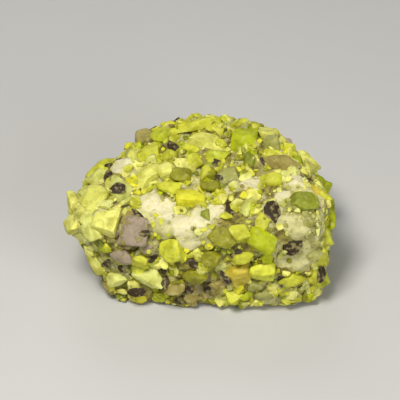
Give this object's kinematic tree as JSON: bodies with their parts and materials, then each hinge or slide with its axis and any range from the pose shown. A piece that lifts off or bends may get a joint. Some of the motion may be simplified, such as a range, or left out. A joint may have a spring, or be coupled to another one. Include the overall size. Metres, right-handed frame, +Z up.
{
  "type": "turkish delight",
  "caption": "Soft, unevenly cut block of turkish delight rolled in chopped pistachio, with the larger bits of nut standing out of its skin and a flat underside to rest on.",
  "frame": {"origin": "middle of the flat underside that the piece rests on", "axes": "+X along the piece's length, +Z up, -Y the front that shows the most nuts"},
  "size_m": [0.0414, 0.0325, 0.0218],
  "materials": {
    "pistachio_coat": "dull, rough coat of chopped pistachio in yellow, green and cream, over soft cream delight"
  },
  "bodies": {
    "root": {"turkish_delight": "pistachio_coat"}
  },
  "joints": []
}
